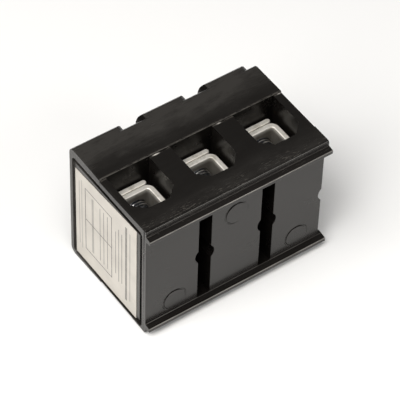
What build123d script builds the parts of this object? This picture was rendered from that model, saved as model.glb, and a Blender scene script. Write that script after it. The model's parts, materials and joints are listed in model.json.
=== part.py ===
from build123d import *
import os

# Terminal block of three poles, laid on one of its wire sides as in the photograph.
# X runs along the row of poles with the labelled end at -X.
# The mounting side, with its two rails, faces -Y, and the screw side faces +Y.
# Wires enter through the windows of the two wire sides, at +Z and -Z.
# The origin is the bottom centre of the whole block. All sizes are in millimetres.

# Row of poles
poles = 3
pole_pitch = 22.86
pole_width = 18.26
left_margin = 0.72
right_margin = 1.30

# Depths, measured from the mounting panels towards the screw side
seam_depth = 24.5
gap_depth = 38.7
pad_depth = 41.0

# Heights across the two wire sides
cover_height = 47.0
seam_step = 0.3
base_taper = 0.25
right_end_step = 0.2
foot_step_depth = 7.2
front_edge_round = 0.8
gap_edge_round = 2.0
pad_edge_round = 2.4

# Mounting rails along both front edges
rail_drop = 1.95
rail_slope = 0.35
rail_tip = 1.4
rail_reach = 2.1
rail_root_slope = 0.5
rail_edge_round = 0.25

# Slots between the poles and the mounting holes in them
slot_depth = 19.0
screw_notch_radius = 3.4
mount_hole_radius = 2.7
head_recess_radius = 4.8
head_recess_depth = 36.5

# Wire windows and the chambers behind them
window_width = 15.2
window_front = 7.85
window_chamfer = 3.7
face_wall = 2.1
chamber_corner_round = 0.8
divider_thickness = 1.3
guide_reach = 11.5
guide_clearance = 0.1
sill_gap = 0.2
sill_height = 1.5

# Folded wire lugs
lug_width = 12.9
lug_length = 14.25
lug_strip = 1.75
lug_bend = 0.9
lug_corner_bend = 0.7
lug_layer_gap = 0.25
lug_end_gap = 0.75
lug_top_gap = 0.45
lug_divider_gap = 0.1

# Current bars
bar_width = 8.0
bar_thickness = 2.2
bar_overrun = 0.4
bar_end_chamfer = 0.5
bar_side_clearance = 0.15

# Clamp screws
screw_radius = 3.97
screw_length = 17.0
screw_tip_depth = 17.3
screw_tip_chamfer = 1.1
thread_clearance = 0.05
driver_slot_width = 1.5
driver_slot_depth = 2.6
well_radius = 4.7

# Raised pads of the cover
pad_gap = 4.9
pad_corner_round = 4.3

# Labelled end
rim_top = 3.0
rim_bottom = 1.2
rim_front = 2.1
rim_back = 1.5
rim_corner_round = 1.6
pocket_depth = 1.25
bed_depth = 0.7
bed_front_gap = 2.0
bed_top_gap = 2.7
label_thickness = 0.15
label_edge_margin = 0.15
label_front_margin = 1.7
label_back_margin = 0.55
label_bottom_margin = 0.3
label_top_skew = 0.6

# Places worked out from the sizes above
block_length = left_margin + (poles - 1) * pole_pitch + pole_width + right_margin
x_left = -(block_length + right_end_step) / 2
x_right = x_left + block_length
x_end = x_right + right_end_step
first_pole = x_left + left_margin + pole_width / 2
pole_x = [first_pole + i * pole_pitch for i in range(poles)]
slot_x = [x + pole_pitch / 2 for x in pole_x]
slot_width = pole_pitch - pole_width
y_panel = (rail_reach - pad_depth) / 2
y_rail = y_panel - rail_reach
y_seam = y_panel + seam_depth
y_gap = y_panel + gap_depth
y_pad = y_panel + pad_depth
z_mid = cover_height / 2
base_seam_half = cover_height / 2 - seam_step
base_front_half = base_seam_half - base_taper
rail_crease_half = base_front_half - rail_drop
rail_tip_half = rail_crease_half - rail_slope
rail_inner_half = rail_tip_half - rail_tip
rail_root_half = rail_inner_half - rail_root_slope
face_inner_half = base_seam_half - face_wall
divider_half = divider_thickness / 2
y_floor = y_panel + window_front
lug_height = seam_depth - window_front - lug_top_gap
y_lug_inside = y_floor + lug_strip
lug_start = divider_half + lug_divider_gap
lug_end = lug_start + lug_length
lug_middle = (lug_start + lug_end) / 2
sill_start = lug_end + sill_gap
y_bar_top = y_lug_inside + bar_thickness
bar_half_length = sill_start + bar_overrun
y_screw_tip = y_panel + screw_tip_depth
y_screw_head = y_screw_tip + screw_length
pocket_front = y_panel + rim_front
pocket_back = y_pad - rim_back
pocket_low = rim_bottom
pocket_high = cover_height - rim_top
bed_front = pocket_front + bed_front_gap
bed_high = pocket_high - bed_top_gap

# The two wire sides, as the sign of their direction from the middle of the block
SIDES = {"upper": 1, "lower": -1}


def box(x0, x1, y0, y1, z0, z1):
    """Box between two corners."""
    size = Box(x1 - x0, y1 - y0, z1 - z0)
    return Pos((x0 + x1) / 2, (y0 + y1) / 2, (z0 + z1) / 2) * size


def end_plane(x):
    """Plane across the block at x, with Y to its right, Z up and +X as its normal."""
    return Plane(origin=(x, 0, z_mid), x_dir=(0, 1, 0), z_dir=(1, 0, 0))


def run_along_x(face, x0, x1):
    """Extrude a face drawn in depth and height along the row of poles."""
    return extrude(end_plane(x0) * face, amount=x1 - x0)


def depth_cylinder(x, z, radius, y0, y1):
    """Round bar or hole that runs through the depth of the block."""
    plane = Plane(origin=(x, y0, z), x_dir=(1, 0, 0), z_dir=(0, 1, 0))
    return extrude(plane * Circle(radius), amount=y1 - y0)


def base_profile():
    """Section of the base: tapered sides, rounded front edges and the two rails."""
    upper = [
        (y_seam, base_seam_half),
        (y_panel, base_front_half),
        (y_panel, rail_crease_half),
        (y_rail, rail_tip_half),
        (y_rail, rail_inner_half),
        (y_panel, rail_root_half),
    ]
    lower = [(y, -z) for y, z in reversed(upper)]
    face = make_face(Polyline(*upper, *lower, close=True))
    front_edges = [v for v in face.vertices() if abs(abs(v.Y) - base_front_half) < 1e-6]
    face = fillet(front_edges, front_edge_round)
    tips = [v for v in face.vertices() if abs(v.X - y_rail) < 1e-6]
    return fillet(tips, rail_edge_round)


def cover_profile(y_back, edge_round):
    """Section of the cover up to one of its two levels."""
    depth = y_back - y_seam
    face = Pos((y_seam + y_back) / 2, 0) * Rectangle(depth, cover_height)
    back = [v for v in face.vertices() if abs(v.X - y_back) < 1e-6]
    return fillet(back, edge_round)


def label_pocket():
    """Pocket of the labelled end, less the bed the label lies on at its back and bottom."""
    width = pocket_back - pocket_front
    height = pocket_high - pocket_low
    outline = RectangleRounded(width, height, rim_corner_round)
    middle = Pos(pocket_front + width / 2, pocket_low + height / 2 - z_mid)
    pocket = run_along_x(middle * outline, x_left, x_left + pocket_depth)
    bed = box(x_left + bed_depth, x_left + pocket_depth, bed_front, pocket_back,
              pocket_low, bed_high)
    return pocket - bed


def wire_window(x, side):
    """Opening in a wire side, with its two front corners cut at 45 degrees."""
    half = window_width / 2
    points = [
        (-half, y_seam),
        (-half, y_floor + window_chamfer),
        (-half + window_chamfer, y_floor),
        (half - window_chamfer, y_floor),
        (half, y_floor + window_chamfer),
        (half, y_seam),
    ]
    face = make_face(Polyline(*[(x + dx, y) for dx, y in points], close=True))
    start = z_mid + side * (face_inner_half - face_wall)
    return extrude(Pos(0, 0, start) * face, amount=side * cover_height)


def lug_chamber(x, side):
    """Room for one lug: a close channel at its inner end, then the width of the window."""
    near = z_mid + side * divider_half
    shoulder = z_mid + side * guide_reach
    far = z_mid + side * face_inner_half
    half = lug_width / 2 + guide_clearance
    channel = box(x - half, x + half, y_floor, y_seam, min(near, shoulder), max(near, shoulder))
    half = window_width / 2
    room = box(x - half, x + half, y_floor, y_seam, min(shoulder, far), max(shoulder, far))
    corners = [e for e in room.edges().filter_by(Axis.Y) if abs(e.center().Z - shoulder) < 1e-6]
    return channel + fillet(corners, chamber_corner_round)


def lug_sill(x, side):
    """Low sill in front of a lug, which keeps it from sliding out."""
    half = window_width / 2
    near = z_mid + side * sill_start
    far = near + side * sill_height
    return box(x - half, x + half, y_floor, y_lug_inside, min(near, far), max(near, far))


def bar_notch(x):
    """Notch for the current bar in the divider between the two lugs of a pole."""
    half = bar_width / 2 + bar_side_clearance
    return box(x - half, x + half, y_lug_inside, y_seam,
               z_mid - divider_half, z_mid + divider_half)


def housing_base():
    """Moulded base with rails, pole slots, wire windows and lug chambers."""
    body = run_along_x(base_profile(), x_left, x_right)
    foot = run_along_x(base_profile(), x_right, x_end)
    body += foot & box(x_right, x_end, y_rail, y_panel + foot_step_depth, 0, cover_height)
    for x in slot_x:
        half = slot_width / 2
        end = x + half if x + half < x_right else x_end
        body -= box(x - half, end, y_panel, y_panel + slot_depth,
                    z_mid - rail_root_half, z_mid + rail_root_half)
        body -= depth_cylinder(x, z_mid, screw_notch_radius, y_panel, y_panel + slot_depth)
        body -= depth_cylinder(x, z_mid, mount_hole_radius, y_panel, y_seam)
    for x in pole_x:
        for side in SIDES.values():
            body -= wire_window(x, side)
            body -= lug_chamber(x, side)
            body += lug_sill(x, side)
        body -= bar_notch(x)
    return body - label_pocket()


def cover_pad(x0, x1):
    """Raised pad over one pole, with round corners except at the labelled end."""
    plane = Plane(origin=(0, y_seam, z_mid), x_dir=(1, 0, 0), z_dir=(0, 1, 0))
    plan = Pos((x0 + x1) / 2, 0) * Rectangle(x1 - x0, cover_height)
    corners = [v for v in plan.vertices() if v.X > x_left + pad_corner_round]
    block = extrude(plane * fillet(corners, pad_corner_round), amount=y_pad - y_seam)
    return block & run_along_x(cover_profile(y_pad, pad_edge_round), x0, x1)


def housing_cover():
    """Screw-side half of the housing with raised pads and screw wells."""
    body = run_along_x(cover_profile(y_gap, gap_edge_round), x_left, x_end)
    pad_half = (pole_pitch - pad_gap) / 2
    for x in pole_x:
        start = x_left if x - pad_half < x_left + pad_gap else x - pad_half
        body += cover_pad(start, x + pad_half)
    for x in slot_x:
        body -= depth_cylinder(x, z_mid, mount_hole_radius, y_seam, y_pad)
        body -= depth_cylinder(x, z_mid, head_recess_radius, y_panel + head_recess_depth, y_pad)
    for x in pole_x:
        for side in SIDES.values():
            z = z_mid + side * lug_middle
            body -= depth_cylinder(x, z, well_radius, y_seam, y_pad)
    return body - label_pocket()


def lug_path():
    """Middle line of the strip: round the box and back under its own start."""
    half = (lug_width - lug_strip) / 2
    start = lug_width / 2 - lug_end_gap - lug_strip / 2
    top = y_floor + lug_height - lug_strip / 2
    bottom = y_floor + lug_strip / 2
    second = top - lug_strip - lug_layer_gap
    points = [
        (start, top),
        (-half, top),
        (-half, bottom),
        (half, bottom),
        (half, second),
        (-half + lug_strip + lug_layer_gap, second),
    ]
    tight = lug_corner_bend + lug_strip / 2
    wide = lug_bend + lug_strip / 2
    return FilletPolyline(*points, radius=[tight, tight, tight, wide])


def wire_lug(x, side):
    """Box lug folded from one strip, doubled and threaded at the screw side."""
    path = lug_path()
    strip = trace(path, line_width=lug_strip) + Pos(path @ 0) * Circle(lug_strip / 2)
    start = z_mid + side * lug_start
    lug = extrude(Pos(x, 0, start) * strip, amount=side * lug_length)
    hole = depth_cylinder(x, z_mid + side * lug_middle, screw_radius + thread_clearance,
                          y_lug_inside + bar_thickness, y_seam)
    return lug - hole


def current_bar(x):
    """Flat bar through both lugs of a pole, chamfered at its two ends."""
    bar = box(x - bar_width / 2, x + bar_width / 2, y_lug_inside, y_bar_top,
              z_mid - bar_half_length, z_mid + bar_half_length)
    ends = bar.edges().filter_by(Axis.X)
    return chamfer(ends, bar_end_chamfer)


def clamp_screw(x, side):
    """Slotted clamp screw, shown with a plain shank in place of its fine thread."""
    z = z_mid + side * lug_middle
    screw = depth_cylinder(x, z, screw_radius, y_screw_tip, y_screw_head)
    rims = screw.edges().filter_by(GeomType.CIRCLE).sort_by(Axis.Y)
    screw = chamfer(rims[0], screw_tip_chamfer)
    slot = box(x - screw_radius, x + screw_radius, y_screw_head - driver_slot_depth, y_screw_head,
               z - driver_slot_width / 2, z + driver_slot_width / 2)
    return screw - slot


def end_label():
    """Paper label on its bed, with its top edge cut slightly askew."""
    front = bed_front + label_front_margin
    back = pocket_back - label_back_margin
    low = pocket_low + label_bottom_margin - z_mid
    high = bed_high - label_edge_margin - z_mid
    corners = [(front, low), (back, low), (back, high - label_top_skew), (front, high)]
    face = make_face(Polyline(*corners, close=True))
    bed = x_left + bed_depth
    return run_along_x(face, bed - label_thickness, bed)


def save(solid, name):
    """Write one sub-part to its own file."""
    export_step(solid, f"parts/{name}.step")


os.makedirs("parts", exist_ok=True)
save(housing_base(), "housing_base")
save(housing_cover(), "housing_cover")
save(end_label(), "end_label")
for number, x in enumerate(pole_x, start=1):
    save(current_bar(x), f"current_bar_{number}")
    for side_name, side in SIDES.items():
        save(wire_lug(x, side), f"wire_lug_{side_name}_{number}")
        save(clamp_screw(x, side), f"clamp_screw_{side_name}_{number}")
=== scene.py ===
"""Looks of a three-pole terminal block lying on one wire side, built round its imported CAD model."""

import json
import math

import bpy
from bpy.props import FloatProperty, FloatVectorProperty, IntProperty, PointerProperty
from bpy.types import Operator, Panel, PropertyGroup
from mathutils import Matrix, Vector
from mathutils.bvhtree import BVHTree

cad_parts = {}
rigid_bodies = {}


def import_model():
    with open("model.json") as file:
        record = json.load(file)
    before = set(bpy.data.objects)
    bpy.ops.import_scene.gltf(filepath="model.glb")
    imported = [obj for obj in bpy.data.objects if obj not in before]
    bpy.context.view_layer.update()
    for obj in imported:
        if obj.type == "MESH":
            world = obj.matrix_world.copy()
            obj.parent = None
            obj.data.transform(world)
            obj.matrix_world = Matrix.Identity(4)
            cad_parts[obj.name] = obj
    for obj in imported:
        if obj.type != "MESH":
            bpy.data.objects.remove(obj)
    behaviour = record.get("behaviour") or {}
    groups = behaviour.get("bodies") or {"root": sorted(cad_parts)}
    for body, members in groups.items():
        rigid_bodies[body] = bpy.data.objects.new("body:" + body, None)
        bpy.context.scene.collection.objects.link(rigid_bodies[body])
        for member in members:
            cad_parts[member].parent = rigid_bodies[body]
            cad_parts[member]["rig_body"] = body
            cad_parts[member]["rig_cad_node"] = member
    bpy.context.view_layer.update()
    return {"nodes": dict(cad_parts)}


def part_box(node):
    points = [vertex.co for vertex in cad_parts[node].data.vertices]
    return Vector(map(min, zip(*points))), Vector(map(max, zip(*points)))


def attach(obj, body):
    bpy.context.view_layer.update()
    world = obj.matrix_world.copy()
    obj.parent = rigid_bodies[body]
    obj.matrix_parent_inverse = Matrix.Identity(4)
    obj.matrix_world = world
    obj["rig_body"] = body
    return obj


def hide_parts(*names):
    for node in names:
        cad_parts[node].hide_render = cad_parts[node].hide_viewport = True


bl_info = {
    "name": "Terminal Block",
    "version": (1, 0, 0),
    "blender": (4, 5, 0),
    "location": "View3D > Sidebar > Terminal Block",
    "description": "Dresses a terminal block: moulded housing, folded lugs, clamp screws and label",
    "category": "Object",
}

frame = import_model()

# Angles and lengths that the mesh steps share

MM = 0.001
POLES = (1, 2, 3)
SIDES = ("upper", "lower")
FLAT_ANGLE = math.radians(0.5)
SHARP_ANGLE = math.radians(32)
WELD_DISTANCE = 0.002 * MM
SLIVER_AREA = 0.05 * MM * MM

# Places taken from the CAD nodes

BASE_LOW, BASE_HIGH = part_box("housing_base")
COVER_LOW, COVER_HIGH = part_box("housing_cover")
LABEL_LOW, LABEL_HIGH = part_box("end_label")
SCREW_LOW, SCREW_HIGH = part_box("clamp_screw_upper_1")
SCREW_RADIUS = (SCREW_HIGH.x - SCREW_LOW.x) / 2
LUG_END_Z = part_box("wire_lug_upper_1")[1].z
POLE_X = [sum(corner.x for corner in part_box(f"wire_lug_upper_{number}")) / 2 for number in POLES]
BLOCK_MIDDLE_Z = (COVER_LOW.z + COVER_HIGH.z) / 2
SEAM_Y = BASE_HIGH.y
PANEL_Y = BASE_LOW.y + 2.1 * MM


# Settings

class HousingSettings(PropertyGroup):
    """Sizes and colours of the moulded housing."""
    edge_round: FloatProperty(
        name="Edge round", description="Radius left by the mould on every sharp edge",
        default=0.16 * MM, min=0.0, unit="LENGTH")
    edge_steps: IntProperty(
        name="Edge steps", description="Faces across each rounded edge", default=2, min=1)
    base_end_round: FloatProperty(
        name="Base end round", description="Wider rounding of the base along the labelled end",
        default=1.0 * MM, min=0.0, unit="LENGTH")
    cover_end_round: FloatProperty(
        name="Cover end round", description="Wider rounding of the cover along the labelled end",
        default=0.7 * MM, min=0.0, unit="LENGTH")
    plastic: FloatVectorProperty(
        name="Plastic", description="Colour of the moulded plastic", subtype="COLOR",
        default=(0.0056, 0.0048, 0.0042), min=0.0, max=1.0)
    plastic_hazed: FloatVectorProperty(
        name="Hazed plastic", description="Colour of plastic dulled by handling", subtype="COLOR",
        default=(0.032, 0.0298, 0.0272), min=0.0, max=1.0)
    plastic_worn: FloatVectorProperty(
        name="Worn plastic", description="Colour of rubbed and scuffed plastic", subtype="COLOR",
        default=(0.085, 0.078, 0.068), min=0.0, max=1.0)
    # Painted highlight: colour painted on thin rail and seam edges where light catches them, and
    # brighter still on small chips at the seam.
    painted_highlight: FloatVectorProperty(
        name="Bright edge", description="Colour of the thin burnished edges of the rails",
        subtype="COLOR", default=(0.27, 0.255, 0.235), min=0.0, max=1.0)
    gloss_roughness: FloatProperty(
        name="Roughness", description="Roughness of clean plastic", default=0.22, min=0.0, max=1.0,
        subtype="FACTOR")
    grain_size: FloatProperty(
        name="Grain size", description="Spacing of the mould's fine grain",
        default=0.35 * MM, min=0.01 * MM, unit="LENGTH")
    # Low index for the shaded copy of the plastic inside the windows: painted shade that dims their
    # shine.
    window_shine_index: FloatProperty(
        name="Dull index", description="Refraction index that sets the shine inside the windows",
        default=1.24, min=1.0)
    pin_radius: FloatProperty(
        name="Pin radius", description="Radius of the round marks of the ejector pins",
        default=4.1 * MM, min=1.0 * MM, unit="LENGTH")
    pin_groove: FloatProperty(
        name="Pin groove", description="Greatest depth of the groove round an ejector pin",
        default=0.42 * MM, min=0.01 * MM, unit="LENGTH")


class LugSettings(PropertyGroup):
    """Sizes and colours of the folded lugs and the bars they hold."""
    edge_round: FloatProperty(
        name="Edge round", description="Radius of the rolled edges of the strip",
        default=0.32 * MM, min=0.0, unit="LENGTH")
    bar_edge_round: FloatProperty(
        name="Bar edge round", description="Radius along the edges of a current bar",
        default=0.15 * MM, min=0.0, unit="LENGTH")
    edge_steps: IntProperty(
        name="Edge steps", description="Faces across each rounded edge", default=3, min=1)
    metal: FloatVectorProperty(
        name="Metal", description="Colour of the plated strip", subtype="COLOR",
        default=(0.95, 0.92, 0.86), min=0.0, max=1.0)
    stain: FloatVectorProperty(
        name="Stain", description="Colour of dull patches on the plating", subtype="COLOR",
        default=(0.68, 0.65, 0.585), min=0.0, max=1.0)
    # Painted shade: dark colour laid on the inside of each lug, away from its lit open end.
    inside: FloatVectorProperty(
        name="Inside", description="Colour of the dull plating inside a lug", subtype="COLOR",
        default=(0.19, 0.175, 0.15), min=0.0, max=1.0)


class ScrewSettings(PropertyGroup):
    """Thread and colours of the clamp screws."""
    thread_pitch: FloatProperty(
        name="Thread pitch", description="Distance from one turn of the thread to the next",
        default=1.058 * MM, min=0.1 * MM, unit="LENGTH")
    thread_depth: FloatProperty(
        name="Thread depth", description="Depth of the thread",
        default=0.52 * MM, min=0.0, unit="LENGTH")
    thread_steps: IntProperty(
        name="Thread steps", description="Faces round one turn of the thread", default=48, min=12)
    point_length: FloatProperty(
        name="Point length", description="Length of the conical point at the tip",
        default=1.1 * MM, min=0.0, unit="LENGTH")
    slot_width: FloatProperty(
        name="Slot width", description="Width of the slot for the driver",
        default=1.5 * MM, min=0.1 * MM, unit="LENGTH")
    slot_depth: FloatProperty(
        name="Slot depth", description="Depth of the slot for the driver",
        default=2.6 * MM, min=0.1 * MM, unit="LENGTH")
    steel: FloatVectorProperty(
        name="Steel", description="Colour of the blued steel", subtype="COLOR",
        default=(0.085, 0.095, 0.12), min=0.0, max=1.0)
    # Bright steel colours the rubbed patches and specks and also the painted glints on the thread
    # crests.
    bright: FloatVectorProperty(
        name="Bright steel", description="Colour where the blueing is worn off", subtype="COLOR",
        default=(0.80, 0.79, 0.78), min=0.0, max=1.0)


class LabelSettings(PropertyGroup):
    """Colours and ruling of the paper label."""
    paper: FloatVectorProperty(
        name="Paper", description="Colour of the label", subtype="COLOR",
        default=(0.60, 0.565, 0.51), min=0.0, max=1.0)
    ink: FloatVectorProperty(
        name="Ink", description="Colour of the ruled lines", subtype="COLOR",
        default=(0.055, 0.052, 0.05), min=0.0, max=1.0)
    back_trim: FloatProperty(
        name="Back trim", description="Paper cut off along the back edge",
        default=0.3 * MM, min=0.0, unit="LENGTH")
    corner_trim: FloatProperty(
        name="Corner trim", description="Paper cut off at the upper back corner",
        default=1.4 * MM, min=0.0, unit="LENGTH")
    line_width: FloatProperty(
        name="Line width", description="Width of the ruled lines",
        default=0.30 * MM, min=0.0, unit="LENGTH")


class StageSettings(PropertyGroup):
    """Camera, floor and lights."""
    target: FloatVectorProperty(
        name="Target", description="Point that the camera looks at", subtype="XYZ", unit="LENGTH",
        default=(0.46 * MM, 0.55 * MM, 21.61 * MM))
    azimuth: FloatProperty(
        name="Azimuth", description="Camera's turn round the block", subtype="ANGLE",
        default=math.radians(-36.39))
    elevation: FloatProperty(
        name="Elevation", description="Camera's height above the horizon", subtype="ANGLE",
        default=math.radians(48.15))
    roll: FloatProperty(
        name="Roll", description="Camera's tilt about its own axis", subtype="ANGLE",
        default=math.radians(1.99))
    distance: FloatProperty(
        name="Distance", description="From the camera to its target", unit="LENGTH",
        default=761.3 * MM)
    lens: FloatProperty(
        name="Lens", description="Focal length on a 36 mm sensor, in millimetres",
        default=224.15, min=1.0)
    room_light: FloatProperty(
        name="Room light", description="Strength of the even light from all sides",
        default=0.12, min=0.0)
    floor: FloatVectorProperty(
        name="Floor", description="Colour of the floor", subtype="COLOR",
        default=(0.92, 0.92, 0.915), min=0.0, max=1.0)


# Selection and mesh helpers

def clear_selection():
    """Deselects every object."""
    bpy.ops.object.select_all(action="DESELECT")
    bpy.context.view_layer.objects.active = None


def select_only(piece):
    """Makes a piece the only selected object."""
    clear_selection()
    piece.select_set(True)
    bpy.context.view_layer.objects.active = piece


def copy_of_node(node, name):
    """Copy of a CAD node with its own mesh, merged and with flat areas made whole."""
    source = frame["nodes"][node]
    piece = source.copy()
    piece.data = source.data.copy()
    piece.name = piece.data.name = name
    piece.parent = None
    piece.matrix_world = Matrix.Identity(4)
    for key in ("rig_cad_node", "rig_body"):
        if key in piece:
            del piece[key]
    bpy.context.collection.objects.link(piece)
    select_only(piece)
    bpy.ops.object.mode_set(mode="EDIT")
    bpy.ops.mesh.select_all(action="SELECT")
    bpy.ops.mesh.customdata_custom_splitnormals_clear()
    bpy.ops.mesh.remove_doubles(threshold=WELD_DISTANCE)
    bpy.ops.mesh.dissolve_limited(angle_limit=FLAT_ANGLE)
    bpy.ops.object.mode_set(mode="OBJECT")
    return piece


def keep_close(piece, surface, reach):
    """Draws points that a bevel threw off back to the surface."""
    for vertex in piece.data.vertices:
        nearest, _, _, distance = surface.find_nearest(vertex.co)
        if distance > reach:
            vertex.co = nearest


def keep_inside(piece, low, high):
    """Draws all points of a piece into a box."""
    for vertex in piece.data.vertices:
        for axis in range(3):
            vertex.co[axis] = min(max(vertex.co[axis], low[axis]), high[axis])
    piece.data.update()


def cut_away(piece, cutter):
    """Cuts one object out of another and removes the cutter."""
    select_only(piece)
    cut = piece.modifiers.new("cut", "BOOLEAN")
    cut.operation = "DIFFERENCE"
    cut.solver = "EXACT"
    cut.object = cutter
    bpy.ops.object.modifier_apply(modifier=cut.name)
    bpy.data.objects.remove(cutter, do_unlink=True)


def drop_slivers(piece):
    """Merges points that meet, and removes the small folded faces that this leaves open."""
    select_only(piece)
    bpy.ops.object.mode_set(mode="EDIT")
    bpy.ops.mesh.select_mode(type="EDGE")
    bpy.ops.mesh.select_all(action="SELECT")
    bpy.ops.mesh.dissolve_degenerate(threshold=WELD_DISTANCE)
    bpy.ops.mesh.remove_doubles(threshold=WELD_DISTANCE)
    bpy.ops.mesh.select_all(action="DESELECT")
    bpy.ops.mesh.select_non_manifold(use_wire=False, use_multi_face=False,
                                     use_non_contiguous=False, use_verts=False)
    bpy.ops.object.mode_set(mode="OBJECT")
    open_edges = {edge.key for edge in piece.data.edges if edge.select}
    bpy.ops.object.mode_set(mode="EDIT")
    bpy.ops.mesh.select_all(action="DESELECT")
    bpy.ops.mesh.select_mode(type="FACE")
    bpy.ops.object.mode_set(mode="OBJECT")
    for face in piece.data.polygons:
        face.select = face.area < SLIVER_AREA and any(key in open_edges for key in face.edge_keys)
    bpy.ops.object.mode_set(mode="EDIT")
    bpy.ops.mesh.delete(type="FACE")
    bpy.ops.object.mode_set(mode="OBJECT")


def round_edges(piece, width, steps, cutters=()):
    """Makes fine cuts and rounds every other sharp edge, inside the space that the piece fills."""
    select_only(piece)
    bpy.ops.object.mode_set(mode="EDIT")
    bpy.ops.mesh.select_mode(type="EDGE")
    bpy.ops.mesh.select_all(action="DESELECT")
    bpy.ops.mesh.edges_select_sharp(sharpness=SHARP_ANGLE)
    bpy.ops.object.mode_set(mode="OBJECT")
    weights = piece.data.attributes.new("bevel_weight_edge", "FLOAT", "EDGE")
    for edge in piece.data.edges:
        weights.data[edge.index].value = float(edge.select)
    for cutter in cutters:
        cut_away(piece, cutter)
    corners = [vertex.co for vertex in piece.data.vertices]
    low = [min(c[axis] for c in corners) for axis in range(3)]
    high = [max(c[axis] for c in corners) for axis in range(3)]
    surface = BVHTree.FromPolygons([c.copy() for c in corners],
                                   [list(face.vertices) for face in piece.data.polygons])
    select_only(piece)
    bevel = piece.modifiers.new("rounded edges", "BEVEL")
    bevel.width = width
    bevel.segments = steps
    bevel.limit_method = "WEIGHT"
    bevel.miter_outer = "MITER_ARC"
    bevel.use_clamp_overlap = False
    bpy.ops.object.modifier_apply(modifier=bevel.name)
    keep_close(piece, surface, width)
    keep_inside(piece, low, high)
    piece.data.attributes.remove(piece.data.attributes["bevel_weight_edge"])
    drop_slivers(piece)
    bpy.ops.object.shade_smooth_by_angle(angle=SHARP_ANGLE)
    normals = piece.modifiers.new("flat faces", "WEIGHTED_NORMAL")
    normals.keep_sharp = True
    bpy.ops.object.modifier_apply(modifier=normals.name)


def soften_end(piece, width):
    """Draws in the two long edges of the labelled end with a wider rounding."""
    left = min(vertex.co.x for vertex in piece.data.vertices)
    low = min(vertex.co.z for vertex in piece.data.vertices)
    high = max(vertex.co.z for vertex in piece.data.vertices)
    flush, draft, shortest = 0.05 * MM, 0.3 * MM, 3.0 * MM
    select_only(piece)
    bpy.ops.object.mode_set(mode="EDIT")
    bpy.ops.mesh.select_all(action="DESELECT")
    bpy.ops.object.mode_set(mode="OBJECT")
    for edge in piece.data.edges:
        ends = [piece.data.vertices[index].co for index in edge.vertices]
        level = all(min(end.z - low, high - end.z) < draft for end in ends)
        long = (ends[0] - ends[1]).length > shortest
        edge.select = long and level and all(end.x - left < flush for end in ends)
    bpy.ops.object.mode_set(mode="EDIT")
    bpy.ops.mesh.select_mode(type="EDGE")
    bpy.ops.mesh.bevel(offset=width, segments=4, affect="EDGES")
    bpy.ops.object.mode_set(mode="OBJECT")


def wear(piece, body, nodes, material):
    """Gives a piece its material and sets it in the frame in place of CAD nodes."""
    piece.data.materials.clear()
    piece.data.materials.append(material)
    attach(piece, body)
    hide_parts(*nodes)


def line_windows(piece, material):
    """Gives the faces inside the wire windows a second material: a darker shaded copy of the plastic
    as painted shade.
    """
    piece.data.materials.append(material)
    end_wall, front_wall, rim = 2.2 * MM, 4.5 * MM, 0.5 * MM
    deep = BASE_HIGH.z - BLOCK_MIDDLE_Z - rim
    for face in piece.data.polygons:
        place = face.center
        inside = COVER_LOW.x + end_wall < place.x < COVER_HIGH.x - end_wall
        behind = place.y > BASE_LOW.y + front_wall
        if inside and behind and abs(place.z - BLOCK_MIDDLE_Z) < deep:
            face.material_index = 1


def pin_mark_cutter(x, z, turn, settings):
    """Thin ring, tilted to cut a groove into a panel that is deepest toward its turn."""
    radius, depth = settings.pin_radius, settings.pin_groove
    clear_selection()
    bpy.ops.mesh.primitive_torus_add(
        major_radius=radius, minor_radius=depth, major_segments=64, minor_segments=10)
    ring = bpy.context.object
    tilt = math.asin(depth / 2 / radius)
    axis = Vector((-math.sin(turn), 0.0, math.cos(turn)))
    place = Matrix.Translation((x, PANEL_Y - depth / 2, z)) @ Matrix.Rotation(tilt, 4, axis)
    ring.data.transform(place @ Matrix.Rotation(math.radians(90), 4, "X"))
    ring.data.update()
    return ring


# Shader helpers

class Tree:
    """Short ways to add nodes to one node tree."""

    def __init__(self, tree):
        self.tree = tree

    def add(self, kind, inputs=None, **settings):
        """Adds a node, with its settings and its inputs as values or as links."""
        node = self.tree.nodes.new(kind)
        for name, value in settings.items():
            setattr(node, name, value)
        for key, value in (inputs or {}).items():
            if isinstance(value, bpy.types.NodeSocket):
                self.tree.links.new(value, node.inputs[key])
            else:
                node.inputs[key].default_value = value
        return node

    def math(self, operation, *values):
        """Adds a Math node and returns its output."""
        return self.add("ShaderNodeMath", dict(enumerate(values)), operation=operation).outputs[0]

    def fade(self, value, start, end, low=0.0, high=1.0):
        """Smooth step from low to high while value runs from start to end."""
        node = self.add("ShaderNodeMapRange", {
            "Value": value, "From Min": start, "From Max": end, "To Min": low, "To Max": high},
            interpolation_type="SMOOTHSTEP")
        return node.outputs["Result"]

    def noise(self, vector, scale, detail=3.0, roughness=0.55):
        """Adds a Noise node and returns its value."""
        node = self.add("ShaderNodeTexNoise", {
            "Vector": vector, "Scale": scale, "Detail": detail, "Roughness": roughness})
        return node.outputs["Fac"]

    def mix(self, factor, first, second):
        """Mixes two colours."""
        colours = [value if isinstance(value, bpy.types.NodeSocket) else (*value, 1.0)
                   for value in (first, second)]
        inputs = {0: factor, 6: colours[0], 7: colours[1]}
        return self.add("ShaderNodeMix", inputs, data_type="RGBA").outputs[2]

    def stretch(self, vector, scale):
        """Stretches coordinates by a factor for each axis."""
        return self.add("ShaderNodeMapping", {"Vector": vector, "Scale": scale}).outputs["Vector"]


def new_group(name, inputs, outputs):
    """Empty shader group with float and vector inputs and float outputs."""
    group = bpy.data.node_groups.new(name, "ShaderNodeTree")
    for label, value in inputs.items():
        kind = "NodeSocketVector" if value is None else "NodeSocketFloat"
        socket = group.interface.new_socket(label, in_out="INPUT", socket_type=kind)
        if value is not None:
            socket.default_value = value
    for label in outputs:
        group.interface.new_socket(label, in_out="OUTPUT", socket_type="NodeSocketFloat")
    tree = Tree(group)
    return tree, tree.add("NodeGroupInput").outputs, tree.add("NodeGroupOutput").inputs


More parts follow.
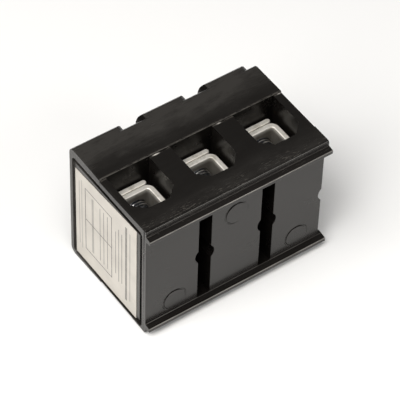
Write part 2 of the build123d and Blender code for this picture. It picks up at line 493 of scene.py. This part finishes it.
def fine_grain_group():
    """Fine grain of a moulded, plated or paper surface, as a height."""
    tree, given, result = new_group("fine grain", {"Vector": None, "Size": 0.3 * MM}, ["Height"])
    scale = tree.math("DIVIDE", 1.0, given["Size"])
    fine = tree.noise(given["Vector"], scale, 2.0, 0.6)
    broad = tree.noise(given["Vector"], tree.math("MULTIPLY", scale, 0.22), 3.0)
    total = tree.math("MULTIPLY_ADD", broad, 0.5, tree.math("MULTIPLY", fine, 0.5))
    tree.tree.links.new(total, result["Height"])
    return tree.tree


def scuffs_group():
    """Short rubbed marks that run along X, gathered in patches, as a mask."""
    tree, given, result = new_group(
        "scuffs", {"Vector": None, "Amount": 0.5, "Length": 4.0}, ["Mask"])
    long_way = tree.add("ShaderNodeCombineXYZ", {
        "X": tree.math("DIVIDE", 1.0, given["Length"]), "Y": 1.0, "Z": 1.0}).outputs["Vector"]
    drawn = tree.add("ShaderNodeVectorMath", {0: given["Vector"], 1: long_way},
                     operation="MULTIPLY")
    marks = tree.noise(drawn.outputs[0], 2600.0, 2.0, 0.7)
    patches = tree.noise(given["Vector"], 160.0, 2.0)
    threshold = tree.math("MULTIPLY_ADD", given["Amount"], -0.34, 0.86)
    level = tree.math("MULTIPLY_ADD", patches, 0.32, marks)
    mask = tree.fade(level, threshold, tree.math("ADD", threshold, 0.12))
    tree.tree.links.new(mask, result["Mask"])
    return tree.tree


def edge_line_group():
    """Distance mask round a straight edge that runs along X at a given Y and Z."""
    tree, given, result = new_group(
        "edge line", {"Vector": None, "Y": 0.0, "Z": 0.0, "Reach": 1.0 * MM}, ["Mask"])
    place = tree.add("ShaderNodeSeparateXYZ", {0: given["Vector"]}).outputs
    dy = tree.math("SUBTRACT", place["Y"], given["Y"])
    dz = tree.math("SUBTRACT", place["Z"], given["Z"])
    square = tree.math("MULTIPLY_ADD", dy, dy, tree.math("MULTIPLY", dz, dz))
    distance = tree.math("DIVIDE", tree.math("SQRT", square), given["Reach"])
    tree.tree.links.new(tree.fade(distance, 1.0, 0.0), result["Mask"])
    return tree.tree


def ruled_box_group():
    """Outline of a rectangle on a YZ face, as a mask."""
    inputs = {"Vector": None, "Y": 0.0, "Z": 0.0,
              "Half Y": 1.0 * MM, "Half Z": 1.0 * MM, "Line": 0.2 * MM}
    tree, given, result = new_group("ruled box", inputs, ["Mask"])
    place = tree.add("ShaderNodeSeparateXYZ", {0: given["Vector"]}).outputs
    beyond = []
    for axis in "YZ":
        away = tree.math("ABSOLUTE", tree.math("SUBTRACT", place[axis], given[axis]))
        beyond.append(tree.math("SUBTRACT", away, given[f"Half {axis}"]))
    outline = tree.math("ABSOLUTE", tree.math("MAXIMUM", *beyond))
    half_line = tree.math("MULTIPLY", given["Line"], 0.5)
    off = tree.math("SUBTRACT", outline, half_line)
    tree.tree.links.new(tree.fade(off, 0.05 * MM, -0.03 * MM), result["Mask"])
    return tree.tree


def shared_group(name):
    """Shared shader group of that name, built the first time it is asked for."""
    makers = {
        "fine grain": fine_grain_group,
        "scuffs": scuffs_group,
        "edge line": edge_line_group,
        "ruled box": ruled_box_group,
    }
    return bpy.data.node_groups.get(name) or makers[name]()


def new_material(name):
    """Empty material with its node tree, Principled shader and Object coordinates."""
    material = bpy.data.materials.new(name)
    material.use_nodes = True
    material.node_tree.nodes.clear()
    tree = Tree(material.node_tree)
    shader = tree.add("ShaderNodeBsdfPrincipled")
    tree.add("ShaderNodeOutputMaterial", {"Surface": shader.outputs["BSDF"]})
    place = tree.add("ShaderNodeTexCoord").outputs["Object"]
    return material, tree, shader, place


def use_group(tree, name, inputs):
    """Places a shared group in a material and returns its first output."""
    return tree.add("ShaderNodeGroup", inputs, node_tree=shared_group(name)).outputs[0]


def near_edge(tree, place, y, z, reach):
    """Mask that is 1 on a straight edge along X and fades out within its reach."""
    return use_group(tree, "edge line", {"Vector": place, "Y": y, "Z": z, "Reach": reach})


def bump(tree, height, distance, strength=1.0, below=None):
    """Adds a Bump node, over another one if given, and returns its normal."""
    inputs = {"Height": height, "Distance": distance, "Strength": strength}
    if below is not None:
        inputs["Normal"] = below
    return tree.add("ShaderNodeBump", inputs).outputs["Normal"]


def connect(tree, shader, colour, roughness, normal):
    """Connects the colour, roughness and normal of a material to its shader."""
    for name, value in (("Base Color", colour), ("Roughness", roughness), ("Normal", normal)):
        tree.tree.links.new(value, shader.inputs[name])


# Materials

def window_shade_plastic(name, settings):
    """Shaded copy of the plastic for the faces inside the wire windows: painted shade, soft, dark and
    even, with a low refraction index that dims its shine.
    """
    material, tree, shader, place = new_material(name)
    cloud = tree.noise(place, 260.0, 3.0)
    grain = use_group(tree, "fine grain", {"Vector": place, "Size": settings.grain_size})
    darker = tuple(0.6 * c for c in settings.plastic)
    colour = tree.mix(cloud, tuple(settings.plastic), darker)
    rough = tree.math("MULTIPLY_ADD", cloud, 0.2, 0.20)
    connect(tree, shader, colour, rough, bump(tree, grain, 0.02 * MM, 0.6))
    shader.inputs["IOR"].default_value = settings.window_shine_index
    shader.inputs["Specular Tint"].default_value = (1.0, 0.95, 0.89, 1.0)
    return material


def moulded_plastic(name, settings, haze, scuffed, highlit, chip_glints):
    """Black moulded plastic: fine grain, haze, scuffed places, painted highlights along edges and
    painted glints on small chips.
    """
    material, tree, shader, place = new_material(name)
    grain = use_group(tree, "fine grain", {"Vector": place, "Size": settings.grain_size})
    cloud = tree.noise(tree.stretch(place, (0.6, 1.0, 1.0)), 95.0, 4.0)
    streak = tree.noise(tree.stretch(place, (0.12, 1.0, 1.0)), 900.0, 2.0)
    flow = tree.noise(tree.stretch(place, (0.25, 1.0, 0.10)), 420.0, 3.0)
    speckle = tree.noise(tree.stretch(place, (0.2, 1.0, 1.0)), 2200.0, 3.0, 0.7)
    spot = tree.add("ShaderNodeSeparateXYZ", {0: place}).outputs
    # Haze is strongest toward the back and the front, and spares the seam and the rail lips.
    back = tree.fade(spot["Y"], SEAM_Y + 1.0 * MM, SEAM_Y + 11.0 * MM, 0.15, 1.0)
    front = tree.fade(spot["Y"], BASE_LOW.y + 12.0 * MM, BASE_LOW.y + 4.0 * MM, 0.2, 0.9)
    lips = tree.fade(spot["Y"], BASE_LOW.y + 1.6 * MM, BASE_LOW.y + 3.4 * MM, 0.2, 1.0)
    dulled = tree.math("MULTIPLY", tree.math("MAXIMUM", back, front), lips)
    for share in (haze, tree.fade(cloud, 0.30, 0.75, 0.65, 1.25),
                  tree.fade(speckle, 0.25, 0.75, 0.75, 1.25),
                  tree.fade(flow, 0.25, 0.75, 0.7, 1.3)):
        dulled = tree.math("MULTIPLY", dulled, share)
    colour = tree.mix(dulled, tuple(settings.plastic), tuple(settings.plastic_hazed))
    worn = 0.0
    for y, z, reach, amount in scuffed:
        marks = use_group(tree, "scuffs", {"Vector": place, "Amount": amount, "Length": 5.0})
        marks = tree.math("MULTIPLY", near_edge(tree, place, y, z, reach), marks)
        worn = tree.math("MAXIMUM", worn, marks)
    colour = tree.mix(tree.math("MULTIPLY", worn, 0.55), colour, tuple(settings.plastic_worn))
    # Painted highlights: thin lines along the given edges are lightened toward the highlight colour,
    # broken up by the streaks.
    bright = 0.0
    for y, z, reach, amount in highlit:
        line = tree.math("MULTIPLY", near_edge(tree, place, y, z, reach), amount)
        bright = tree.math("MAXIMUM", bright, line)
    broken = tree.fade(streak, 0.35, 0.6, 0.55, 1.0)
    bright = tree.math("MULTIPLY", bright, broken)
    colour = tree.mix(bright, colour, tuple(settings.painted_highlight))
    # Small chips at the seam, painted as bright glints well above the highlight colour.
    chip_glint_colour = tuple(2.4 * c for c in settings.painted_highlight)
    for x, y, z, half_length, amount in chip_glints:
        along = tree.math("ABSOLUTE", tree.math("SUBTRACT", spot["X"], x))
        along = tree.fade(along, half_length, 0.0, 0.0, amount)
        chip_glint = tree.math("MULTIPLY", near_edge(tree, place, y, z, 0.34 * MM), along)
        colour = tree.mix(chip_glint, colour, chip_glint_colour)
    rough = tree.math("MULTIPLY_ADD", cloud, 0.14, settings.gloss_roughness - 0.07)
    rough = tree.math("MULTIPLY_ADD", streak, 0.05, rough)
    rough = tree.math("MULTIPLY_ADD", worn, 0.25, rough)
    connect(tree, shader, colour, rough, bump(tree, grain, 0.010 * MM, 0.5))
    shader.inputs["IOR"].default_value = 1.44
    shader.inputs["Specular Tint"].default_value = (1.0, 0.97, 0.935, 1.0)
    return material


def plated_strip(name, settings):
    """Plated metal strip: drawn lines along its length, dull patches and painted shade darkening its
    inside.
    """
    material, tree, shader, place = new_material(name)
    drawn = tree.noise(tree.stretch(place, (1.0, 1.0, 0.08)), 2400.0, 3.0, 0.6)
    patches = tree.noise(place, 330.0, 4.0)
    grain = use_group(tree, "fine grain", {"Vector": place, "Size": 0.18 * MM})
    stained = tree.fade(patches, 0.46, 0.74)
    colour = tree.mix(stained, tuple(settings.metal), tuple(settings.stain))
    # Painted shade: the colour darkens from the open end of each lug toward the block's middle.
    height = tree.add("ShaderNodeSeparateXYZ", {0: place}).outputs["Z"]
    outward = tree.math("ABSOLUTE", tree.math("SUBTRACT", height, BLOCK_MIDDLE_Z))
    end = LUG_END_Z - BLOCK_MIDDLE_Z
    inside_shade = tree.fade(outward, end - 0.15 * MM, end - 2.2 * MM, 0.0, 0.85)
    colour = tree.mix(inside_shade, colour, tuple(settings.inside))
    rough = tree.math("MULTIPLY_ADD", patches, 0.16, 0.54)
    rough = tree.math("MULTIPLY_ADD", drawn, 0.08, rough)
    normal = bump(tree, drawn, 0.010 * MM, 0.7)
    connect(tree, shader, colour, rough, bump(tree, grain, 0.008 * MM, 0.7, normal))
    shader.inputs["Metallic"].default_value = 1.0
    return material


def blued_steel(name, settings):
    """Blued screw steel with rubbed specks and patches, partly real wear and partly painted glints,
    and painted glints on the thread crests.
    """
    material, tree, shader, place = new_material(name)
    # Distance from the axis of the nearest screw: screws repeat along X and mirror in Z.
    spot = tree.add("ShaderNodeSeparateXYZ", {0: place}).outputs
    pitch = POLE_X[1] - POLE_X[0]
    across = tree.math("SUBTRACT", spot["X"], POLE_X[0])
    dx = tree.math("WRAP", across, -pitch / 2, pitch / 2)
    height = tree.math("ABSOLUTE", tree.math("SUBTRACT", spot["Z"], BLOCK_MIDDLE_Z))
    dz = tree.math("SUBTRACT", height, (SCREW_LOW.z + SCREW_HIGH.z) / 2 - BLOCK_MIDDLE_Z)
    square = tree.math("MULTIPLY_ADD", dx, dx, tree.math("MULTIPLY", dz, dz))
    radius = tree.math("SQRT", square)
    # Painted glint: the outermost part of each thread crest is lightened toward bright steel where
    # the patches allow.
    crest = tree.fade(radius, SCREW_RADIUS - 0.22 * MM, SCREW_RADIUS - 0.04 * MM)
    patches = tree.noise(place, 380.0, 2.0)
    specks = use_group(tree, "scuffs", {"Vector": place, "Amount": 0.5, "Length": 1.0})
    grain = use_group(tree, "fine grain", {"Vector": place, "Size": 0.12 * MM})
    crest_glint = tree.math("MULTIPLY", crest, tree.fade(patches, 0.3, 0.55, 0.35, 1.0))
    # Rubbed specks and patches, partly real wear and partly painted glints, joined with the painted
    # crest glint.
    worn = tree.math("MULTIPLY", specks, 0.4)
    worn = tree.math("MAXIMUM", worn, tree.fade(patches, 0.50, 0.70, 0.05, 0.6))
    worn = tree.math("MAXIMUM", worn, crest_glint)
    colour = tree.mix(worn, tuple(settings.steel), tuple(settings.bright))
    rough = tree.math("MULTIPLY_ADD", patches, 0.25, 0.20)
    connect(tree, shader, colour, rough, bump(tree, grain, 0.006 * MM, 0.6))
    shader.inputs["Metallic"].default_value = 1.0
    return material


def label_rulings(line):
    """Boxes and lines of the label as (y, z, half y, half z, line width, amount of ink)."""
    height = LABEL_HIGH.z - LABEL_LOW.z
    depth = LABEL_HIGH.y - LABEL_LOW.y
    middle = (LABEL_LOW.z + LABEL_HIGH.z) / 2
    half_height = height / 2 - 3.0 * MM
    half_box = half_height - 3.2 * MM
    box_low = LABEL_LOW.y + 0.40 * depth
    box_depth = 0.43 * depth
    rulings = [(box_low + box_depth / 2, middle + side * half_box / 2,
                box_depth / 2, half_box / 2, line, 1.0) for side in (1.0, -1.0)]
    outside_box = (
        # share of the depth, share of the height, width, ink
        (0.93, 0.84, 0.7, 0.8), (0.89, 0.90, 1.8, 0.35), (0.335, 0.56, 1.0, 0.8),
        (0.285, 0.70, 1.0, 0.8), (0.235, 0.66, 1.0, 0.8), (0.165, 0.96, 3.2, 0.75),
        (0.105, 0.90, 2.0, 0.35))
    for share, length, width, amount in outside_box:
        y = LABEL_LOW.y + share * depth
        rulings.append((y, middle, 0.0, half_height * length, width * line, amount))
    inside_box = ((0.16, 1.0, 0.8), (0.30, 1.0, 0.8), (0.44, 1.0, 0.8), (0.72, 3.6, 0.45))
    for share, width, amount in inside_box:
        y = box_low + share * box_depth
        rulings.append((y, middle, 0.0, half_box * 0.86, width * line, amount))
    return rulings


def label_paper(name, settings):
    """Cream paper with plain ruled boxes and lines, and a little ink wear."""
    material, tree, shader, place = new_material(name)
    ink = 0.0
    for y, z, half_y, half_z, width, amount in label_rulings(settings.line_width):
        mask = use_group(tree, "ruled box", {
            "Vector": place, "Y": y, "Z": z, "Half Y": half_y, "Half Z": half_z, "Line": width})
        ink = tree.math("MAXIMUM", ink, tree.math("MULTIPLY", mask, amount))
    fibre = use_group(tree, "fine grain", {"Vector": place, "Size": 0.25 * MM})
    cloud = tree.noise(place, 120.0, 3.0)
    darker = tuple(0.9 * c for c in settings.paper)
    paper = tree.mix(tree.fade(cloud, 0.35, 0.7), tuple(settings.paper), darker)
    faded = tree.math("MULTIPLY", ink, tree.fade(fibre, 0.25, 0.6, 0.65, 0.98))
    colour = tree.mix(faded, paper, tuple(settings.ink))
    rough = tree.math("MULTIPLY_ADD", cloud, 0.15, 0.5)
    connect(tree, shader, colour, rough, bump(tree, fibre, 0.010 * MM, 0.5))
    return material


def floor_board(name, colour):
    """Pale matt board with a faint unevenness."""
    material, tree, shader, place = new_material(name)
    cloud = tree.noise(place, 6.0, 3.0)
    darker = tuple(0.985 * c for c in colour)
    tree.tree.links.new(tree.mix(cloud, tuple(colour), darker), shader.inputs["Base Color"])
    shader.inputs["Roughness"].default_value = 0.7
    return material


# Operators

class TERMINAL_OT_housing_base(Operator):
    """Base with rounded mould edges, ejector pin marks, scuffs at its top edges and painted
    highlights along the rails
    """
    bl_idname = "terminal.housing_base"
    bl_label = "Housing Base"

    def execute(self, context):
        settings = context.scene.terminal_housing
        piece = copy_of_node("housing_base", "dressed_base")
        soften_end(piece, settings.base_end_round)
        pins = ((10.6, 9.7, 125), (32.6, 35.1, 135), (56.0, 9.9, 120))
        rings = [pin_mark_cutter(COVER_LOW.x + x * MM, z * MM, math.radians(turn), settings)
                 for x, z, turn in pins]
        round_edges(piece, settings.edge_round, settings.edge_steps, rings)
        # Heights of the rails' edges: the lower rail mirrors the upper one in the block's middle.
        top = BASE_HIGH.z
        under = COVER_LOW.z + COVER_HIGH.z
        crease = top - 2.2 * MM
        tip = top - 2.6 * MM
        inner_tip = top - 3.95 * MM
        scuffed = [
            (PANEL_Y + 1.0 * MM, top - 0.2 * MM, 4.0 * MM, 0.36),
            (SEAM_Y, top, 0.9 * MM, 0.85),
        ]
        # Painted highlights along the rail tips, the panel creases and the lower rail, standing in
        # for light on those rounded edges.
        highlit = [
            (BASE_LOW.y, tip, 0.32 * MM, 1.0),
            (PANEL_Y, crease, 0.30 * MM, 0.22),
            (BASE_LOW.y, under - inner_tip, 0.34 * MM, 0.85),
            (BASE_LOW.y, under - tip, 0.30 * MM, 0.8),
            (PANEL_Y, under - top + 4.5 * MM, 0.26 * MM, 0.22),
        ]
        # Small chips on the seam, painted as bright glints.
        chip_glints = [
            (POLE_X[0] + 9.9 * MM, SEAM_Y - 0.4 * MM, top, 1.7 * MM, 1.0),
            (POLE_X[1] + 9.9 * MM, SEAM_Y - 0.3 * MM, top, 1.2 * MM, 0.6),
            (POLE_X[2] + 9.5 * MM, SEAM_Y - 0.3 * MM, top, 1.0 * MM, 0.5),
        ]
        plastic = moulded_plastic("base plastic", settings, 0.45, scuffed, highlit, chip_glints)
        wear(piece, "housing", ["housing_base"], plastic)
        # The window faces get the darker shaded copy of the plastic: painted shade.
        line_windows(piece, window_shade_plastic("base window plastic", settings))
        return {"FINISHED"}


class TERMINAL_OT_housing_cover(Operator):
    """Cover with rounded pads, screw wells, a rubbed seam and a painted highlight along the seam"""
    bl_idname = "terminal.housing_cover"
    bl_label = "Housing Cover"

    def execute(self, context):
        settings = context.scene.terminal_housing
        piece = copy_of_node("housing_cover", "dressed_cover")
        soften_end(piece, settings.cover_end_round)
        round_edges(piece, settings.edge_round, settings.edge_steps)
        scuffed = [
            (SEAM_Y, COVER_HIGH.z, 0.8 * MM, 0.9),
            (COVER_HIGH.y, COVER_HIGH.z - 2.0 * MM, 3.0 * MM, 0.3),
            (SEAM_Y, COVER_LOW.z, 0.8 * MM, 0.9),
        ]
        # Painted highlights along the seam at the top and the bottom of the cover.
        highlit = [
            (SEAM_Y, COVER_HIGH.z, 0.22 * MM, 0.25),
            (SEAM_Y, COVER_LOW.z, 0.30 * MM, 0.5),
        ]
        plastic = moulded_plastic("cover plastic", settings, 1.0, scuffed, highlit, [])
        wear(piece, "housing", ["housing_cover"], plastic)
        # The window faces get the darker shaded copy of the plastic: painted shade.
        line_windows(piece, window_shade_plastic("cover window plastic", settings))
        return {"FINISHED"}


class TERMINAL_OT_label(Operator):
    """Paper label, cut a little short at its upper back corner, with plain ruled lines"""
    bl_idname = "terminal.label"
    bl_label = "Label"

    def execute(self, context):
        settings = context.scene.terminal_label
        piece = copy_of_node("end_label", "ruled_label")
        back_edge = LABEL_HIGH.y - 1.0 * MM
        for vertex in piece.data.vertices:
            if vertex.co.y > back_edge:
                vertex.co.y -= settings.back_trim
                if vertex.co.z > BLOCK_MIDDLE_Z:
                    vertex.co.z -= settings.corner_trim
        wear(piece, "housing", ["end_label"], label_paper("label paper", settings))
        return {"FINISHED"}


class TERMINAL_OT_wire_lugs(Operator):
    """Six folded lugs with rolled edges"""
    bl_idname = "terminal.wire_lugs"
    bl_label = "Wire Lugs"

    def execute(self, context):
        settings = context.scene.terminal_lugs
        metal = plated_strip("lug plating", settings)
        for number in POLES:
            for side in SIDES:
                node = f"wire_lug_{side}_{number}"
                piece = copy_of_node(node, f"rolled_lug_{side}_{number}")
                round_edges(piece, settings.edge_round, settings.edge_steps)
                wear(piece, "housing", [node], metal)
        return {"FINISHED"}


class TERMINAL_OT_current_bars(Operator):
    """Three current bars with eased edges"""
    bl_idname = "terminal.current_bars"
    bl_label = "Current Bars"

    def execute(self, context):
        settings = context.scene.terminal_lugs
        metal = plated_strip("bar plating", settings)
        for number in POLES:
            node = f"current_bar_{number}"
            piece = copy_of_node(node, f"eased_bar_{number}")
            round_edges(piece, settings.bar_edge_round, settings.edge_steps)
            wear(piece, "housing", [node], metal)
        return {"FINISHED"}


def threaded_rod(name, radius, length, settings):
    """Threaded rod along Z from the origin up: one turn of profile, wound by a Screw modifier."""
    pitch, depth = settings.thread_pitch, settings.thread_depth
    # Half of one thread, as depth below the crest and share of the pitch, with a rounded crest.
    rise = [(depth, 0.0), (depth, 0.10), (0.13 * MM, 0.33), (0.05 * MM, 0.38),
            (0.01 * MM, 0.43), (0.0, 0.48)]
    profile = [(radius - below, share) for below, share in rise]
    profile += [(radius - below, 1.0 - share) for below, share in reversed(rise)]
    mesh = bpy.data.meshes.new(name)
    mesh.from_pydata([(r, 0.0, share * pitch) for r, share in profile],
                     [(i, i + 1) for i in range(len(profile) - 1)], [])
    piece = bpy.data.objects.new(name, mesh)
    bpy.context.collection.objects.link(piece)
    select_only(piece)
    winding = piece.modifiers.new("winding", "SCREW")
    winding.screw_offset = pitch
    winding.iterations = math.ceil(length / pitch) + 3
    winding.steps = winding.render_steps = settings.thread_steps
    winding.use_merge_vertices = True
    winding.merge_threshold = WELD_DISTANCE
    bpy.ops.object.modifier_apply(modifier=winding.name)
    bpy.ops.object.mode_set(mode="EDIT")
    bpy.ops.mesh.select_all(action="SELECT")
    bpy.ops.mesh.remove_doubles(threshold=WELD_DISTANCE)
    bpy.ops.transform.translate(value=(0.0, 0.0, -2.0 * pitch))
    for height, direction in ((0.0, -1.0), (length, 1.0)):
        bpy.ops.mesh.select_all(action="SELECT")
        bpy.ops.mesh.bisect(plane_co=(0.0, 0.0, height), plane_no=(0.0, 0.0, direction),
                            use_fill=True, clear_outer=True, threshold=WELD_DISTANCE)
    bpy.ops.mesh.select_all(action="SELECT")
    bpy.ops.mesh.normals_make_consistent(inside=False)
    bpy.ops.object.mode_set(mode="OBJECT")
    return piece


def taper_end(piece, radius, length):
    """Draws the first turns of a rod in to a cone, as the point of a set screw."""
    for vertex in piece.data.vertices:
        reach = math.hypot(vertex.co.x, vertex.co.y)
        limit = radius - length + vertex.co.z
        if reach > limit > 0.0:
            vertex.co.x *= limit / reach
            vertex.co.y *= limit / reach


class TERMINAL_OT_clamp_screws(Operator):
    """Six threaded clamp screws with a slot for the driver"""
    bl_idname = "terminal.clamp_screws"
    bl_label = "Clamp Screws"

    def execute(self, context):
        settings = context.scene.terminal_screws
        steel = blued_steel("screw steel", settings)
        length = SCREW_HIGH.y - SCREW_LOW.y
        first = threaded_rod("threaded_screw", SCREW_RADIUS, length, settings)
        taper_end(first, SCREW_RADIUS, settings.point_length)
        bpy.ops.mesh.primitive_cube_add(size=1.0, location=(0.0, 0.0, length))
        cutter = bpy.context.object
        cutter.scale = (3.0 * SCREW_RADIUS, settings.slot_width, 2.0 * settings.slot_depth)
        bpy.ops.object.transform_apply(location=True, rotation=True, scale=True)
        cut_away(first, cutter)
        first.data.transform(Matrix.Rotation(math.radians(-90), 4, "X"))
        first.data.update()
        select_only(first)
        bpy.ops.object.shade_smooth_by_angle(angle=SHARP_ANGLE)
        for number in POLES:
            for side in SIDES:
                node = f"clamp_screw_{side}_{number}"
                low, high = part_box(node)
                piece = first.copy()
                piece.data = first.data.copy()
                piece.name = piece.data.name = f"threaded_screw_{side}_{number}"
                bpy.context.collection.objects.link(piece)
                place = Vector(((low.x + high.x) / 2, low.y, (low.z + high.z) / 2))
                piece.data.transform(Matrix.Translation(place))
                keep_inside(piece, low, high)
                wear(piece, f"{side}_screw_{number}", [node], steel)
        bpy.data.objects.remove(first, do_unlink=True)
        return {"FINISHED"}


def add_softbox(name, direction, distance, size, power):
    """Adds a warm white square area light that faces the block from a direction."""
    data = bpy.data.lights.new(name, "AREA")
    data.shape = "SQUARE"
    data.size = size
    data.energy = power
    data.color = (1.0, 0.985, 0.965)
    light = bpy.data.objects.new(name, data)
    bpy.context.collection.objects.link(light)
    way = Vector(direction).normalized()
    light.location = way * distance + Vector((0.0, 0.0, BLOCK_MIDDLE_Z))
    light.rotation_mode = "QUATERNION"
    light.rotation_quaternion = (-way).to_track_quat("-Z", "Y")


class TERMINAL_OT_stage(Operator):
    """Pale floor, soft studio lights and the camera"""
    bl_idname = "terminal.stage"
    bl_label = "Stage"

    def execute(self, context):
        settings = context.scene.terminal_stage
        clear_selection()
        bpy.ops.mesh.primitive_plane_add(size=3.0)
        floor = bpy.context.object
        floor.name = "floor"
        floor.data.materials.append(floor_board("floor board", settings.floor))
        world = bpy.data.worlds.new("soft room")
        context.scene.world = world
        context.scene.view_settings.view_transform = "Standard"
        world.use_nodes = True
        room = world.node_tree.nodes["Background"]
        room.inputs["Color"].default_value = (1.0, 1.0, 1.0, 1.0)
        room.inputs["Strength"].default_value = settings.room_light
        add_softbox("left softbox", (-0.8, -0.1, 1.0), distance=0.9, size=0.7, power=7.0)
        add_softbox("front softbox", (0.40, -0.75, 0.54), distance=0.9, size=0.28, power=1.7)
        add_softbox("top softbox", (-0.3, -0.3, 1.0), distance=1.0, size=0.6, power=5.6)
        self.add_camera(context, settings)
        return {"FINISHED"}

    def add_camera(self, context, settings):
        """Camera at the fitted distance, turned to its target and rolled about its own axis."""
        data = bpy.data.cameras.new("camera")
        data.lens = settings.lens
        data.sensor_width = 36.0
        data.clip_start, data.clip_end = 0.01, 10.0
        camera = bpy.data.objects.new("camera", data)
        context.collection.objects.link(camera)
        context.scene.camera = camera
        turn, rise = settings.azimuth, settings.elevation
        level = math.cos(rise)
        back = Vector((math.sin(turn) * level, -math.cos(turn) * level, math.sin(rise)))
        right = Vector((math.cos(turn), math.sin(turn), 0.0))
        up = back.cross(right)
        facing = Matrix((right, up, back)).transposed().to_4x4()
        place = Matrix.Translation(Vector(settings.target) + back * settings.distance)
        camera.matrix_world = place @ facing @ Matrix.Rotation(settings.roll, 4, "Z")


class TERMINAL_PT_sidebar(Panel):
    """Lists the steps and the settings of the block"""
    bl_idname = "TERMINAL_PT_sidebar"
    bl_label = "Terminal Block"
    bl_space_type = "VIEW_3D"
    bl_region_type = "UI"
    bl_category = "Terminal Block"

    def draw(self, context):
        for step in STEPS:
            self.layout.operator(step.bl_idname)
        for name in SETTINGS:
            group = getattr(context.scene, name)
            for key in group.__annotations__:
                self.layout.prop(group, key)


STEPS = (
    TERMINAL_OT_housing_base,
    TERMINAL_OT_housing_cover,
    TERMINAL_OT_label,
    TERMINAL_OT_wire_lugs,
    TERMINAL_OT_current_bars,
    TERMINAL_OT_clamp_screws,
    TERMINAL_OT_stage,
)
SETTINGS = {
    "terminal_housing": HousingSettings,
    "terminal_lugs": LugSettings,
    "terminal_screws": ScrewSettings,
    "terminal_label": LabelSettings,
    "terminal_stage": StageSettings,
}


def register():
    """Registers the settings, the operators and the panel."""
    for name, group in SETTINGS.items():
        bpy.utils.register_class(group)
        setattr(bpy.types.Scene, name, PointerProperty(type=group))
    for step in STEPS:
        bpy.utils.register_class(step)
    bpy.utils.register_class(TERMINAL_PT_sidebar)


def unregister():
    """Takes back what register added."""
    bpy.utils.unregister_class(TERMINAL_PT_sidebar)
    for step in reversed(STEPS):
        bpy.utils.unregister_class(step)
    for name, group in reversed(list(SETTINGS.items())):
        delattr(bpy.types.Scene, name)
        bpy.utils.unregister_class(group)


def main():
    """Builds every piece and the stage."""
    register()
    for step in STEPS:
        family, action = step.bl_idname.split(".")
        getattr(getattr(bpy.ops, family), action)()


if __name__ == "__main__":
    main()
